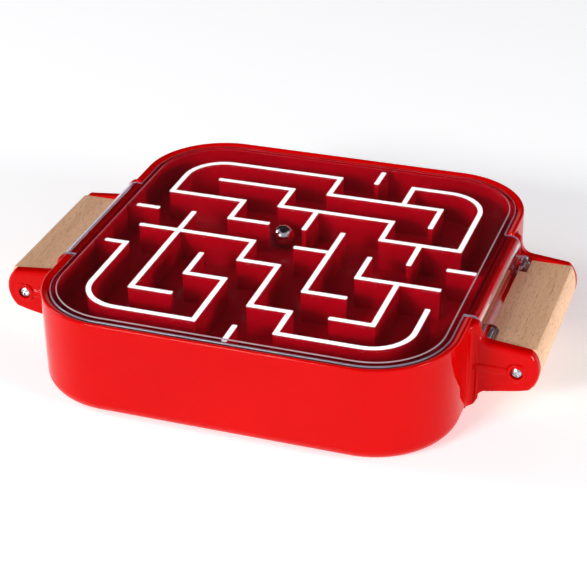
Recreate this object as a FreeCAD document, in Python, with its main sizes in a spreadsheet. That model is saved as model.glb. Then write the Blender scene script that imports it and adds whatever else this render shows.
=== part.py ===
import FreeCAD, Part
import os
import Sketcher
from FreeCAD import Placement, Rotation, Vector

# Hand-held tilt maze: a square tub with a maze tray under a hinged clear lid,
# carried between two wooden side grips.  Millimetres, +Z up, table at Z = 0,
# origin under the middle of the tub, +X towards the hinge side.

doc = FreeCAD.newDocument("tilt_maze")
sheet = doc.addObject("Spreadsheet::Sheet", "Sizes")

values = {
    # tub
    "tub_half": 106.1,
    "tub_corner": 42.5,
    "tub_bottom": 0.8,
    "rim_top": 51.8,
    "tub_floor": 2.6,
    "cavity_half": 102.5,
    "foot_round": 7.2,
    "rim_round": 1.2,
    "rim_bevel": 2.1,
    "notch_level": 49.3,
    # maze tray
    "tray_half": 102.2,
    "tray_inner_half": 100.6,
    "floor_level": 32.0,
    "floor_plate": 2.6,
    "wall_top": 48.5,
    "pitch": 20.8,
    "wall_width": 2.6,
    "print_film": 0.3,
    "print_reach": 95.8,
    "print_inset": 0.02,
    "tray_boss": 3.6,
    "tray_pad": 5.5,
    "boss_spacing": 52.0,
    "boss_seat": 5.0,
    "boss_gap": 0.05,
    # lid
    "lid_half": 101.8,
    "lid_under": 49.8,
    "lid_border_top": 51.2,
    "lid_top": 51.6,
    "lid_panel_half": 98.5,
    "lid_under_bevel": 0.7,
    "lid_edge_bevel": 0.65,
    "ear_half_length": 42.6,
    "ear_outer": 110.2,
    "ear_bend": 5.0,
    "ear_end": 38.2,
    # hinge
    "hinge_across": 112.3,
    "hinge_level": 36.8,
    "knuckle": 4.1,
    "knuckle_end": 30.0,
    "pin": 1.25,
    "pin_inner": 31.2,
    "pin_outer": 47.3,
    "pin_play": 0.05,
    "pin_end_play": 0.3,
    # arms that hold the grips
    "arm_inner": 43.3,
    "arm_outer": 48.5,
    "arm_root": 104.0,
    "arm_blend": 4.5,
    "shoulder_out": 109.8,
    "shoulder_top": 50.2,
    "arm_neck": 111.0,
    "arm_neck_top": 40.9,
    "arm_neck_low": 13.4,
    "arm_tip": 135.2,
    "arm_tip_top": 38.4,
    "arm_tip_low": 17.2,
    "arm_crown": 14.2,
    "tongue_out": 109.4,
    "tongue_low": 5.0,
    "neck_round": 6.0,
    "shoulder_round": 2.6,
    "tip_round": 2.6,
    "arm_edge_round": 2.4,
    "arm_hole": 2.0,
    # wooden grips
    "grip_inner": 112.0,
    "grip_edge": 137.2,
    "grip_low": 17.2,
    "grip_top": 38.2,
    "grip_crown": 22.9,
    "grip_half_length": 43.2,
    "grip_round": 1.0,
    "knuckle_room": 0.4,
    # screws
    "screw_across": 129.4,
    "screw_level": 27.0,
    "boss_ring": 5.0,
    "boss_face": 49.6,
    "boss_round": 0.9,
    "head_seat": 47.6,
    "rib_half": 1.7,
    "rib_rise": 0.6,
    "rib_stop": 3.5,
    "head_radius": 2.75,
    "head_height": 1.8,
    "head_play": 0.3,
    "tray_head_play": 0.5,
    "shank_radius": 1.75,
    "thread_play": 0.05,
    "grip_screw_length": 24.0,
    "tray_screw_length": 15.0,
    "tray_head_level": 3.1,
    "point_length": 3.0,
    "slot_half": 0.45,
    "slot_reach": 1.7,
    "slot_depth": 1.1,
    # ball and feet
    "ball": 6.0,
    "ball_x": -14.4,
    "ball_y": 28.7,
    "ball_lift": 0.05,
    "foot_radius": 6.0,
    "foot_height": 1.6,
    "foot_spacing": 80.0,
    "foot_play": 0.1,
    # construction: how far fused solids reach into each other, and cutters past a face
    "overlap": 0.5,
    "spare": 1.0,
}

for row, (name, value) in enumerate(values.items(), start=1):
    sheet.set(f"A{row}", name)
    sheet.set(f"B{row}", str(value))
    sheet.setAlias(f"B{row}", name)
doc.recompute()


NEAR = 0.01


class Size:
    """A length that knows both its value and the sheet expression behind it."""

    def __init__(self, value, text):
        self.value = value
        self.text = text

    def __add__(self, other):
        other = as_size(other)
        return Size(self.value + other.value, f"({self.text} + {other.text})")

    def __sub__(self, other):
        other = as_size(other)
        return Size(self.value - other.value, f"({self.text} - {other.text})")

    def __mul__(self, factor):
        return Size(self.value * factor, f"({self.text} * {factor})")

    def __neg__(self):
        return Size(-self.value, f"(0 - {self.text})")


def as_size(item):
    if isinstance(item, Size):
        return item
    return Size(float(item), str(float(item)))


def size(name):
    return Size(values[name], f"Sizes.{name}")


def bind(target, prop, amount):
    target.setExpression(prop, as_size(amount).text)


def bind_position(target, x, y, z):
    bind(target, "Placement.Base.x", x)
    bind(target, "Placement.Base.y", y)
    bind(target, "Placement.Base.z", z)


# ---------------------------------------------------------------- primitives

def block(name, low, high):
    """A box between two corner points."""
    made = doc.addObject("Part::Box", name)
    spans = [as_size(b) - as_size(a) for a, b in zip(low, high)]
    bind(made, "Length", spans[0])
    bind(made, "Width", spans[1])
    bind(made, "Height", spans[2])
    bind_position(made, *low)
    return made


TURNS = {
    "up": Rotation(),
    "back": Rotation(Vector(1, 0, 0), -90),
    "front": Rotation(Vector(1, 0, 0), 90),
}


def rod(name, direction, radius, length, x, y, z):
    """A cylinder that starts at a point and runs up, back or front."""
    made = doc.addObject("Part::Cylinder", name)
    made.Placement = Placement(Vector(), TURNS[direction])
    bind(made, "Radius", radius)
    bind(made, "Height", length)
    bind_position(made, x, y, z)
    return made


def fuse(name, pieces):
    made = doc.addObject("Part::MultiFuse", name)
    made.Shapes = pieces
    return made


def common(name, pieces):
    made = doc.addObject("Part::MultiCommon", name)
    made.Shapes = pieces
    return made


def cut(name, base, tools):
    tool = tools[0]
    if len(tools) > 1:
        tool = fuse(f"{name}_tools", tools)
    made = doc.addObject("Part::Cut", name)
    made.Base = base
    made.Tool = tool
    return made


def mirrored(name, source, normal):
    made = doc.addObject("Part::Mirroring", name)
    made.Source = source
    made.Normal = normal
    return made


# ------------------------------------------------------------ sketched bodies

def body(name):
    return doc.addObject("PartDesign::Body", name)


def sketch_on(owner, name, role, height=0.0):
    """A sketch on one of the body's own origin planes, shifted along its normal."""
    made = owner.newObject("Sketcher::SketchObject", name)
    plane = next(f for f in owner.Origin.OriginFeatures if f.Role == role)
    made.AttachmentSupport = [(plane, "")]
    made.MapMode = "FlatFace"
    bind(made, "AttachmentOffset.Base.z", height)
    return made


def pin_point(sketch, element, point, across, upward=None):
    """Tie a sketch point to the sketch origin by sheet expressions."""
    across = as_size(across)
    index = sketch.addConstraint(
        Sketcher.Constraint("DistanceX", -1, 1, element, point, across.value))
    sketch.setExpression(f"Constraints[{index}]", across.text)
    if upward is None:
        return
    upward = as_size(upward)
    index = sketch.addConstraint(
        Sketcher.Constraint("DistanceY", -1, 1, element, point, upward.value))
    sketch.setExpression(f"Constraints[{index}]", upward.text)


def spot(point):
    return Vector(as_size(point[0]).value, as_size(point[1]).value, 0)


def quarter_arc(start, end, centre):
    """The short arc from start to end round a centre, as sketch geometry."""
    middle = (spot(start) + spot(end)) * 0.5 - spot(centre)
    radius = (spot(start) - spot(centre)).Length
    middle.multiply(radius / middle.Length)
    return Part.Arc(spot(start), spot(centre) + middle, spot(end))


def draw_chain(sketch, points, centres, closed):
    """Lines and arcs through points; centres maps a piece number to its arc centre."""
    count = len(points) if closed else len(points) - 1
    ends = []
    for piece in range(count):
        start = points[piece]
        end = points[(piece + 1) % len(points)]
        if piece in centres:
            arc = quarter_arc(start, end, centres[piece])
            element = sketch.addGeometry(arc, False)
            forward = sketch.getPoint(element, 1).distanceToPoint(spot(start)) < 1e-6
            ends.append((element, 1, 2) if forward else (element, 2, 1))
            pin_point(sketch, element, 3, centres[piece][0])
        else:
            element = sketch.addGeometry(Part.LineSegment(spot(start), spot(end)), False)
            ends.append((element, 1, 2))
    for piece in range(count):
        element, first, last = ends[piece]
        pin_point(sketch, element, first, *points[piece])
        if piece + 1 < count or closed:
            following = ends[(piece + 1) % count]
            sketch.addConstraint(Sketcher.Constraint(
                "Coincident", element, last, following[0], following[1]))
        else:
            pin_point(sketch, element, last, *points[piece + 1])


def draw_rounded_square(sketch, half, radius):
    flat = as_size(half) - radius
    corners = [(1, -1), (1, 1), (-1, 1), (-1, -1)]
    points = []
    centres = {}
    for number, (sx, sy) in enumerate(corners):
        beside = (as_size(half) * sx, flat * sy)
        beyond = (flat * sx, as_size(half) * sy)
        centres[len(points)] = (flat * sx, flat * sy)
        points += [beside, beyond] if number % 2 == 1 else [beyond, beside]
    draw_chain(sketch, points, centres, True)


def pad(owner, name, sketch, length, backwards=False):
    made = owner.newObject("PartDesign::Pad", name)
    made.Profile = sketch
    made.Reversed = backwards
    bind(made, "Length", length)
    return made


def pocket(owner, name, sketch, length, backwards=False):
    made = owner.newObject("PartDesign::Pocket", name)
    made.Profile = sketch
    made.Reversed = backwards
    bind(made, "Length", length)
    return made


def edge_names(shape, wanted):
    return [f"Edge{number}" for number, edge in enumerate(shape.Edges, start=1)
            if wanted(edge.BoundBox)]


def dress(owner, kind, name, base, wanted, amount):
    """Fillet or chamfer the edges of a body whose bounding box passes a test."""
    doc.recompute()
    made = owner.newObject(f"PartDesign::{kind}", name)
    made.Base = (base, edge_names(base.Shape, wanted))
    bind(made, "Radius" if kind == "Fillet" else "Size", amount)
    return made


def square_slab(owner, name, half, radius, low, high):
    outline = sketch_on(owner, f"{name}_outline", "XY_Plane", low)
    draw_rounded_square(outline, half, radius)
    return pad(owner, f"{name}_pad", outline, as_size(high) - low)


def prism(name, points, centres, front, length):
    """A profile in the X-Z plane carried backwards from Y = front."""
    owner = body(name)
    outline = sketch_on(owner, f"{name}_outline", "XZ_Plane", -as_size(front))
    draw_chain(outline, points, centres, True)
    pad(owner, f"{name}_pad", outline, length, backwards=True)
    return owner


def at_level(box, level):
    return abs(box.ZMin - level) < NEAR and abs(box.ZMax - level) < NEAR


# ---------------------------------------------------------------------- tub

tub = body("tub")
shell = square_slab(tub, "tub", size("tub_half"), size("tub_corner"),
                    size("tub_bottom"), size("rim_top"))
shell = dress(tub, "Fillet", "tub_bottom_fillet", shell,
              lambda box: at_level(box, values["tub_bottom"]), size("foot_round"))
shell = dress(tub, "Fillet", "tub_rim_fillet", shell,
              lambda box: at_level(box, values["rim_top"]), size("rim_round"))
cavity_corner = size("tub_corner") - (size("tub_half") - size("cavity_half"))
cavity = sketch_on(tub, "cavity_outline", "XY_Plane", size("rim_top"))
draw_rounded_square(cavity, size("cavity_half"), cavity_corner)
shell = pocket(tub, "cavity_pocket", cavity,
               size("rim_top") - size("tub_bottom") - size("tub_floor"))
wall_middle = (values["cavity_half"] + values["tub_half"]) / 2
shell = dress(tub, "Chamfer", "rim_chamfer", shell,
              lambda box: at_level(box, values["rim_top"])
              and max(abs(box.XMax), abs(box.XMin), abs(box.YMax), abs(box.YMin))
              < wall_middle, size("rim_bevel"))

# One arm: a side profile cut out of a plan that blends into the tub's side.
arm_points = [
    (size("arm_root"), size("shoulder_top")),
    (size("shoulder_out"), size("shoulder_top")),
    (size("arm_neck"), size("arm_neck_top")),
    (size("arm_tip"), size("arm_tip_top")),
    (size("arm_tip"), size("arm_tip_low")),
    (size("arm_neck"), size("arm_neck_low")),
    (size("tongue_out"), size("tongue_low")),
    (size("arm_root"), size("tongue_low")),
]


def crown_centre(edge_x, low, high, radius):
    """Centre of the outward-bulging end arc of an arm or a grip."""
    half = (values[high] - values[low]) / 2
    inset = (values[radius] ** 2 - half ** 2) ** 0.5
    return (Size(values[edge_x] - inset,
                 f"(Sizes.{edge_x} - sqrt(Sizes.{radius} ^ 2"
                 f" - ((Sizes.{high} - Sizes.{low}) / 2) ^ 2))"),
            (size(high) + size(low)) * 0.5)


arm_length = size("arm_blend") + size("arm_outer") - size("arm_inner")
arm_side = prism("arm_side", arm_points,
                 {3: crown_centre("arm_tip", "arm_tip_low", "arm_tip_top", "arm_crown")},
                 -(size("arm_outer") + size("arm_blend")), arm_length)
side_pad = arm_side.Tip


def upright_corner(x, z):
    return lambda box: (at_level(box, z) and abs(box.XMin - x) < NEAR
                        and abs(box.XMax - x) < NEAR)


arm_rounds = [
    ("neck", "arm_neck", "arm_neck_top", "neck_round"),
    ("low_neck", "arm_neck", "arm_neck_low", "neck_round"),
    ("shoulder", "shoulder_out", "shoulder_top", "shoulder_round"),
    ("tongue", "tongue_out", "tongue_low", "shoulder_round"),
    ("tip", "arm_tip", "arm_tip_top", "tip_round"),
    ("low_tip", "arm_tip", "arm_tip_low", "tip_round"),
]
for label, x_name, z_name, radius_name in arm_rounds:
    side_pad = dress(arm_side, "Fillet", f"arm_{label}_fillet", side_pad,
                     upright_corner(values[x_name], values[z_name]), size(radius_name))

arm_plan = body("arm_plan")
plan_outline = sketch_on(arm_plan, "arm_plan_outline", "XY_Plane")
draw_chain(plan_outline, [
    (size("arm_root"), -size("arm_inner")),
    (size("arm_root"), -(size("arm_outer") + size("arm_blend"))),
    (size("tub_half"), -(size("arm_outer") + size("arm_blend"))),
    (size("tub_half") + size("arm_blend"), -size("arm_outer")),
    (size("arm_tip") + size("arm_crown"), -size("arm_outer")),
    (size("arm_tip") + size("arm_crown"), -size("arm_inner")),
], {2: (size("tub_half") + size("arm_blend"), -(size("arm_outer") + size("arm_blend")))}, True)
pad(arm_plan, "arm_plan_pad", plan_outline, size("rim_top"))

arm_web = common("arm_web", [arm_side, arm_plan])
doc.recompute()
arm_soft = doc.addObject("Part::Fillet", "arm_soft")
arm_soft.Base = arm_web


def outer_face_edge(box):
    flat = box.YMax - box.YMin < NEAR
    outside = abs(abs(box.YMin) - values["arm_outer"]) < NEAR
    return flat and outside and box.XMin > values["tub_half"]


def rounds(shape, wanted, name):
    """Edge list for a Part::Fillet: number, first radius and last radius of each edge."""
    return [(number, values[name], values[name])
            for number, edge in enumerate(shape.Edges, start=1) if wanted(edge.BoundBox)]


arm_soft.Edges = rounds(arm_web.Shape, outer_face_edge, "arm_edge_round")

boss = rod("boss", "back", size("boss_ring"),
           size("boss_face") - size("arm_outer") + size("overlap"),
           size("screw_across"), -size("boss_face"), size("screw_level"))
doc.recompute()
boss_soft = doc.addObject("Part::Fillet", "boss_soft")
boss_soft.Base = boss
boss_soft.Edges = rounds(boss.Shape, lambda box: box.YMax < -values["boss_face"] + NEAR,
                         "boss_round")
rib = block("rib",
            (size("arm_root"), -(size("arm_outer") + size("rib_rise")),
             size("screw_level") - size("rib_half")),
            (size("screw_across") - size("rib_stop"), size("overlap") - size("arm_outer"),
             size("screw_level") + size("rib_half")))
front_right = fuse("arm_front_right", [arm_soft, boss_soft, rib])
back_right = mirrored("arm_back_right", front_right, Vector(0, 1, 0))
right_arms = fuse("arms_right", [front_right, back_right])
left_arms = mirrored("arms_left", right_arms, Vector(1, 0, 0))

# Pads under the tray screws, standing on the tub floor.
corner_signs = [("left_front", -1, -1), ("right_front", 1, -1),
                ("right_back", 1, 1), ("left_back", -1, 1)]
pad_foot = size("tub_bottom") + size("overlap")
tub_pads = [rod(f"tub_pad_{label}", "up", size("tray_pad"), size("boss_seat") - pad_foot,
                size("boss_spacing") * sx, size("boss_spacing") * sy, pad_foot)
            for label, sx, sy in corner_signs]
housing_blank = fuse("housing_blank", [tub, right_arms, left_arms] + tub_pads)

housing_cuts = []
for label, side in (("right", 1), ("left", -1)):
    outer = size("ear_outer") + size("spare")
    inner = size("cavity_half") - size("spare")
    low_x = inner if side > 0 else -outer
    high_x = outer if side > 0 else -inner
    housing_cuts.append(block(f"ear_notch_{label}",
                              (low_x, -size("arm_inner"), size("notch_level")),
                              (high_x, size("arm_inner"), size("rim_top") + size("spare"))))
for label, sx, sy in corner_signs:
    toward = "back" if sy < 0 else "front"
    housing_cuts.append(rod(f"arm_hole_{label}", toward, size("arm_hole"),
                            size("boss_face") - size("arm_inner") + size("spare"),
                            size("screw_across") * sx, size("boss_face") * sy,
                            size("screw_level")))
    housing_cuts.append(rod(f"head_hole_{label}", toward,
                            size("head_radius") + size("head_play"),
                            size("boss_face") - size("head_seat"),
                            size("screw_across") * sx, size("boss_face") * sy,
                            size("screw_level")))
    housing_cuts.append(rod(f"tray_hole_{label}", "up",
                            size("shank_radius") + size("thread_play"),
                            size("boss_seat") + size("spare"),
                            size("boss_spacing") * sx, size("boss_spacing") * sy, 0))
    housing_cuts.append(rod(f"tray_head_hole_{label}", "up",
                            size("head_radius") + size("tray_head_play"),
                            size("tray_head_level"),
                            size("boss_spacing") * sx, size("boss_spacing") * sy, 0))
    housing_cuts.append(rod(f"foot_seat_{label}", "up",
                            size("foot_radius") + size("foot_play"), size("foot_height"),
                            size("foot_spacing") * sx, size("foot_spacing") * sy, 0))
for label, side in (("front", -1), ("back", 1)):
    start = size("arm_inner") - size("spare")
    housing_cuts.append(rod(f"pin_socket_{label}", "front" if side < 0 else "back",
                            size("pin") + size("pin_play"),
                            size("pin_outer") + size("pin_end_play") - start,
                            size("hinge_across"), start * side, size("hinge_level")))
housing = cut("housing", housing_blank, housing_cuts)

# ---------------------------------------------------------------- maze tray

tray_pan = body("tray_pan")
tray_corner = size("tub_corner") - (size("tub_half") - size("tray_half"))
pan = square_slab(tray_pan, "tray", size("tray_half"), tray_corner,
                  size("floor_level") - size("floor_plate"), size("wall_top"))
well = sketch_on(tray_pan, "tray_well_outline", "XY_Plane", size("wall_top"))
draw_rounded_square(well, size("tray_inner_half"),
                    tray_corner - (size("tray_half") - size("tray_inner_half")))
pocket(tray_pan, "tray_well", well, size("wall_top") - size("floor_level"))

# Maze walls as runs over the nodes of a grid; "round" marks a full-pitch bend.
# "edge" marks an end that runs into the tray's outer wall.
runs = {
    "run_back_left": [(0, 6), (0, 8, "round"), (4, 8), (4, 7), (7, 7), (7, 6)],
    "run_back_right": [(6, 7), (6, 8), (8, 8, "round"), (8, 5), (6, 5), (6, 6), (3, 6),
                       (3, 7), (1, 7)],
    "run_stub_centre": [(4, 6), (4, 5)],
    "run_stub_right": [(7, 5), (7, 4)],
    "run_left_hook": [(0, 6), (2, 6), (2, 5), (3, 5)],
    "run_middle": [(0, 4), (3, 4), (3, 3), (4, 3), (4, 1), (5, 1), (5, 0), (8, 0, "round"),
                   (8, 2)],
    "run_left_comb": [(1, 5), (1, 1), (2, 1)],
    "run_front_left": [(-1, 3, "edge"), (0, 3), (0, 0, "round"), (3, 0), (3, 2), (2, 2),
                       (2, 3)],
    "run_left_tie": [(-1, 5, "edge"), (0, 5)],
    "run_front_tie": [(4, 0), (4, -1, "edge")],
    "run_back_tie": [(5, 8), (5, 9, "edge")],
    "run_right_tie": [(8, 4), (9, 4, "edge")],
    "run_post": [(5, 5), (5, 2), (6, 2)],
    "run_post_arm": [(4.12, 4), (5, 4)],
    "run_right_step": [(6, 4), (6, 3), (8, 3)],
    "run_right_hook": [(7, 3), (7, 1), (6, 1)],
}


def grid(steps):
    return size("pitch") * (steps - 4)


def unit(a, b):
    return (b > a) - (b < a)


def run_chain(nodes, reach):
    """Points and arc centres of one run; edge ends stop at the given reach."""
    points = []
    centres = {}
    for number, node in enumerate(nodes):
        u, v = node[0], node[1]
        kind = node[2] if len(node) > 2 else ""
        if kind == "edge":
            x = as_size(reach) * unit(0, u - 4) if u in (-1, 9) else grid(u)
            y = as_size(reach) * unit(0, v - 4) if v in (-1, 9) else grid(v)
            points.append((x, y))
        elif kind == "round":
            before, after = nodes[number - 1], nodes[number + 1]
            in_x, in_y = unit(u, before[0]), unit(v, before[1])
            out_x, out_y = unit(u, after[0]), unit(v, after[1])
            centres[len(points)] = (grid(u + in_x + out_x), grid(v + in_y + out_y))
            points.append((grid(u + in_x), grid(v + in_y)))
            points.append((grid(u + out_x), grid(v + out_y)))
        else:
            points.append((grid(u), grid(v)))
    kept = [points[0]]
    kept_centres = {}
    for number in range(1, len(points)):
        if number - 1 in centres:
            kept_centres[len(kept) - 1] = centres[number - 1]
        elif (spot(points[number]) - spot(points[number - 1])).Length < 1e-6:
            continue
        kept.append(points[number])
    return kept, kept_centres


def straight_run(name, ends, half_width, low, high):
    """A straight wall with round ends."""
    near, far = sorted(ends, key=lambda end: spot(end).x + spot(end).y)
    along_x = near[1].value == far[1].value
    spread_x = as_size(0) if along_x else half_width
    spread_y = half_width if along_x else as_size(0)
    bar = block(f"{name}_bar", (near[0] - spread_x, near[1] - spread_y, low),
                (far[0] + spread_x, far[1] + spread_y, high))
    caps = [rod(f"{name}_cap_{number}", "up", half_width, as_size(high) - low,
                end[0], end[1], low) for number, end in enumerate((near, far))]
    return fuse(name, [bar] + caps)


def run_solid(name, nodes, reach, half_width, low, high):
    """A wall or a film that follows one run."""
    points, centres = run_chain(nodes, reach)
    if len(points) == 2:
        return straight_run(name, points, half_width, low, high)
    line = doc.addObject("Sketcher::SketchObject", f"{name}_line")
    bind(line, "Placement.Base.z", low)
    draw_chain(line, points, centres, False)
    band = doc.addObject("Part::Offset2D", f"{name}_band")
    band.Source = line
    band.Mode = "Pipe"
    band.Join = "Arc"
    band.Fill = False
    bind(band, "Value", half_width)
    made = doc.addObject("Part::Extrusion", name)
    made.Base = band
    made.DirMode = "Custom"
    made.Dir = Vector(0, 0, 1)
    made.Solid = True
    bind(made, "LengthFwd", as_size(high) - low)
    return made


film_low = size("wall_top") - size("print_film")
wall_solids = [run_solid(f"wall_{name}", nodes, size("tray_inner_half"),
                         size("wall_width") * 0.5, size("floor_level") - size("overlap"),
                         film_low)
               for name, nodes in runs.items()]
boss_foot = size("boss_seat") + size("boss_gap")
tray_bosses = [rod(f"tray_boss_{label}", "up", size("tray_boss"),
                   size("floor_level") - size("floor_plate") + size("overlap") - boss_foot,
                   size("boss_spacing") * sx, size("boss_spacing") * sy, boss_foot)
               for label, sx, sy in corner_signs]
tray_blank = fuse("tray_blank", [tray_pan] + wall_solids + tray_bosses)
pilot = size("shank_radius") + size("thread_play")
tray_pilots = [rod(f"tray_pilot_{label}", "up", pilot,
                   size("tray_screw_length") + size("spare"), size("boss_spacing") * sx,
                   size("boss_spacing") * sy, size("tray_head_level"))
               for label, sx, sy in corner_signs]
maze_tray = cut("maze_tray", tray_blank, tray_pilots)

# White film on the wall tops; the two left-hand ties carry it only part of the way.
film_runs = dict(runs)
film_runs["run_front_left"] = [(-0.5, 3)] + runs["run_front_left"][1:]
film_runs["run_left_tie"] = [(-0.5, 5), (0, 5)]
film_solids = [run_solid(f"film_{name}", nodes, size("print_reach"),
                         size("wall_width") * 0.5 - size("print_inset"), film_low,
                         size("wall_top"))
               for name, nodes in film_runs.items()]
wall_print = fuse("wall_top_print", film_solids)

# ---------------------------------------------------------------------- lid

lid_plate = body("lid_plate")
lid_corner = size("tub_corner") - (size("tub_half") - size("lid_half"))
plate = square_slab(lid_plate, "lid", size("lid_half"), lid_corner,
                    size("lid_under"), size("lid_border_top"))
plate = dress(lid_plate, "Chamfer", "lid_under_chamfer", plate,
              lambda box: at_level(box, values["lid_under"]), size("lid_under_bevel"))
plate = dress(lid_plate, "Chamfer", "lid_edge_chamfer", plate,
              lambda box: at_level(box, values["lid_border_top"]), size("lid_edge_bevel"))
square_slab(lid_plate, "lid_panel", size("lid_panel_half"),
            lid_corner - (size("lid_half") - size("lid_panel_half")),
            size("lid_border_top") - size("overlap"), size("lid_top"))

# The ears carry the border's own sheet over the rim, so the raised panel's edge runs past them.
bend_x = size("ear_outer") - size("ear_bend")
bend_z = size("lid_border_top") - size("ear_bend")
ear_inner = size("ear_outer") - (size("lid_border_top") - size("lid_under"))
ear_root = size("lid_panel_half") - size("overlap")
ear_profile = [
    (ear_root, size("lid_border_top")),
    (bend_x, size("lid_border_top")),
    (size("ear_outer"), bend_z),
    (size("ear_outer"), size("ear_end")),
    (ear_inner, size("ear_end")),
    (ear_inner, bend_z),
    (bend_x, size("lid_under")),
    (ear_root, size("lid_under")),
]
right_ear = prism("ear_right", ear_profile, {1: (bend_x, bend_z), 5: (bend_x, bend_z)},
                  -size("ear_half_length"), size("ear_half_length") * 2)
left_ear = mirrored("ear_left", right_ear, Vector(1, 0, 0))

knuckle_span = size("ear_half_length") - size("knuckle_end")
lid_pieces = [lid_plate, right_ear, left_ear]
pin_holes = []
for label, side in (("front", -1), ("back", 1)):
    toward = "front" if side < 0 else "back"
    lid_pieces.append(rod(f"knuckle_{label}", toward, size("knuckle"), knuckle_span,
                          size("hinge_across"), size("knuckle_end") * side,
                          size("hinge_level")))
    near = size("knuckle_end") if side > 0 else -size("ear_half_length")
    lid_pieces.append(block(f"knuckle_web_{label}",
                            (ear_inner, near, size("hinge_level")),
                            (size("ear_outer"), near + knuckle_span,
                             size("ear_end") + size("overlap"))))
    pin_holes.append(rod(f"knuckle_hole_{label}", toward, size("pin") + size("pin_play"),
                         knuckle_span, size("hinge_across"),
                         (size("pin_inner") - size("pin_end_play")) * side,
                         size("hinge_level")))
lid = cut("lid", fuse("lid_blank", lid_pieces), pin_holes)

hinge_pins = [rod(f"hinge_pin_{label}", "front" if side < 0 else "back", size("pin"),
                  size("pin_outer") - size("pin_inner"), size("hinge_across"),
                  size("pin_inner") * side, size("hinge_level"))
              for label, side in (("front", -1), ("back", 1))]

# --------------------------------------------------------------------- grips


def grip(label, knuckles):
    owner = prism(f"grip_bar_{label}", [
        (size("grip_inner"), size("grip_low")),
        (size("grip_edge"), size("grip_low")),
        (size("grip_edge"), size("grip_top")),
        (size("grip_inner"), size("grip_top")),
    ], {1: crown_centre("grip_edge", "grip_low", "grip_top", "grip_crown")},
        -size("grip_half_length"), size("grip_half_length") * 2)
    dress(owner, "Fillet", f"grip_fillet_{label}", owner.Tip,
          lambda box: abs(box.XMin - values["grip_inner"]) < NEAR
          and abs(box.XMax - values["grip_inner"]) < NEAR
          and box.YMax - box.YMin > values["grip_round"], size("grip_round"))
    blank = owner if label == "right" else mirrored(f"grip_turned_{label}", owner,
                                                    Vector(1, 0, 0))
    side = 1 if label == "right" else -1
    tools = []
    for end, along in (("front", -1), ("back", 1)):
        toward = "back" if along < 0 else "front"
        tools.append(rod(f"grip_pilot_{label}_{end}", toward, pilot,
                         size("grip_screw_length") + size("spare"),
                         size("screw_across") * side, size("head_seat") * along,
                         size("screw_level")))
        if knuckles:
            start = size("knuckle_end") - size("knuckle_room")
            tools.append(rod(f"grip_recess_{label}_{end}", "back" if along > 0 else "front",
                             size("knuckle") + size("knuckle_room"),
                             size("grip_half_length") - start + size("spare"),
                             size("hinge_across"), start * along, size("hinge_level")))
    return cut(f"handle_{label}", blank, tools)


handles = [grip("left", False), grip("right", True)]

# -------------------------------------------------------------------- screws


# The pan head's side, as shares of the head's radius and height.
HEAD_SIDE = [(0.55, 1.0), (0.9, 0.72), (1.0, 0.35)]


def screw(name, length, turn):
    """A pan-head cross-recess screw, head upwards before it is turned."""
    owner = body(name)
    outline = sketch_on(owner, f"{name}_outline", "XZ_Plane")
    head, shank = size("head_radius"), size("shank_radius")
    side = [(head * across, size("head_height") * up) for across, up in HEAD_SIDE]
    draw_chain(outline, [(0, size("head_height"))] + side + [
        (head, 0), (shank, 0), (shank, size("point_length") - length), (0, -as_size(length)),
    ], {}, True)
    spun = owner.newObject("PartDesign::Revolution", f"{name}_revolution")
    spun.Profile = outline
    spun.ReferenceAxis = (outline, ["V_Axis"])
    spun.Angle = 360
    cross = sketch_on(owner, f"{name}_cross", "XY_Plane", size("head_height"))
    near, far = size("slot_half"), size("slot_reach")
    corners = []
    for cx, cy in ((1, 1), (-1, 1), (-1, -1), (1, -1)):
        arms = [(far * cx, near * cy), (near * cx, near * cy), (near * cx, far * cy)]
        corners += arms if cx == cy else arms[::-1]
    draw_chain(cross, corners, {}, True)
    pocket(owner, f"{name}_recess", cross, size("slot_depth"))
    owner.Placement = Placement(Vector(), turn)
    return owner


screws = []
for label, sx, sy in corner_signs:
    turn = Rotation(Vector(1, 0, 0), 90 if sy < 0 else -90)
    made = screw(f"handle_screw_{label}", size("grip_screw_length"), turn)
    bind_position(made, size("screw_across") * sx, size("head_seat") * sy, size("screw_level"))
    screws.append(made)
for label, sx, sy in corner_signs:
    made = screw(f"tray_screw_{label}", size("tray_screw_length"),
                 Rotation(Vector(1, 0, 0), 180))
    bind_position(made, size("boss_spacing") * sx, size("boss_spacing") * sy,
                  size("tray_head_level"))
    screws.append(made)

# ------------------------------------------------------------- ball and feet

ball = doc.addObject("Part::Sphere", "ball")
bind(ball, "Radius", size("ball"))
bind_position(ball, size("ball_x"), size("ball_y"),
              size("floor_level") + size("ball") + size("ball_lift"))

feet = [rod(f"foot_{label}", "up", size("foot_radius"), size("foot_height"),
            size("foot_spacing") * sx, size("foot_spacing") * sy, 0)
        for label, sx, sy in corner_signs]

# -------------------------------------------------------------------- export

doc.recompute()
nodes = [housing, maze_tray, wall_print, lid, ball] + hinge_pins + handles + screws + feet
broken = [item.Name for item in doc.Objects
          if "Invalid" in item.State or "Error" in item.State]
if broken:
    raise RuntimeError(f"objects that did not build: {broken}")
os.makedirs("parts", exist_ok=True)
for node in nodes:
    node.Label = node.Name
    shape = node.Shape
    if shape.isNull() or not shape.isValid() or shape.Volume <= 0:
        raise RuntimeError(f"bad shape: {node.Name}")
    shape.exportStep(f"parts/{node.Label}.step")
    box = shape.BoundBox
    print(f"{node.Label:28s} solids {len(shape.Solids)} volume {shape.Volume:10.1f}"
          f"  x {box.XMin:8.2f} {box.XMax:8.2f}  y {box.YMin:8.2f} {box.YMax:8.2f}"
          f"  z {box.ZMin:7.2f} {box.ZMax:7.2f}")
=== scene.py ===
import contextlib
import math

import bmesh
import bpy
from mathutils import Matrix, Vector


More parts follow.
